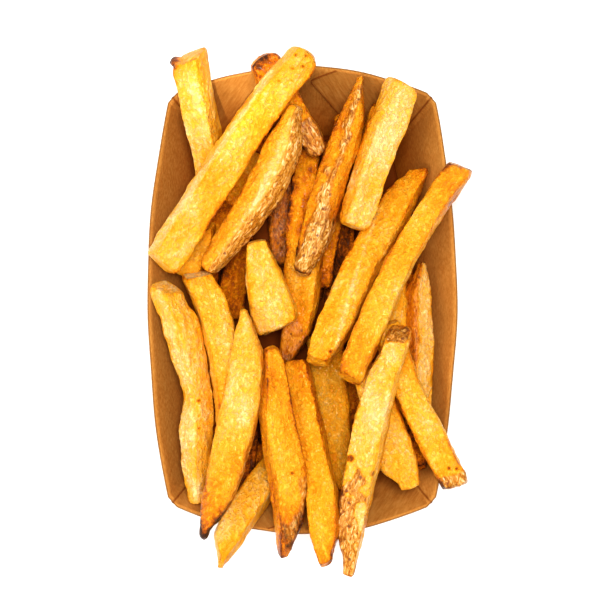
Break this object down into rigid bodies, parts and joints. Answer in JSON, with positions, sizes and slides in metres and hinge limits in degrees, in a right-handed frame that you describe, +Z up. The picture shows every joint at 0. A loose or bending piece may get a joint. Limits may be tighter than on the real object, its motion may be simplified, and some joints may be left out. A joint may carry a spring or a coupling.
{
  "type": "french fries in a paper tray",
  "caption": "Skin-on french fries heaped in an open kraft paperboard boat tray with flared, bowed walls and folded corner gussets.",
  "frame": {"origin": "middle of the underside of the tray's base", "axes": "+Z up, +Y along the tray's length, +X across it"},
  "size_m": [0.1097, 0.1744, 0.0629],
  "materials": {
    "kraft_board": "matt, brown kraft with fine fibre lines",
    "fried_potato": "fried potato, slightly oily, pale yellow to dark orange with brown skin"
  },
  "bodies": {
    "root": {"tray": "kraft_board", "fries": "fried_potato"}
  },
  "joints": []
}
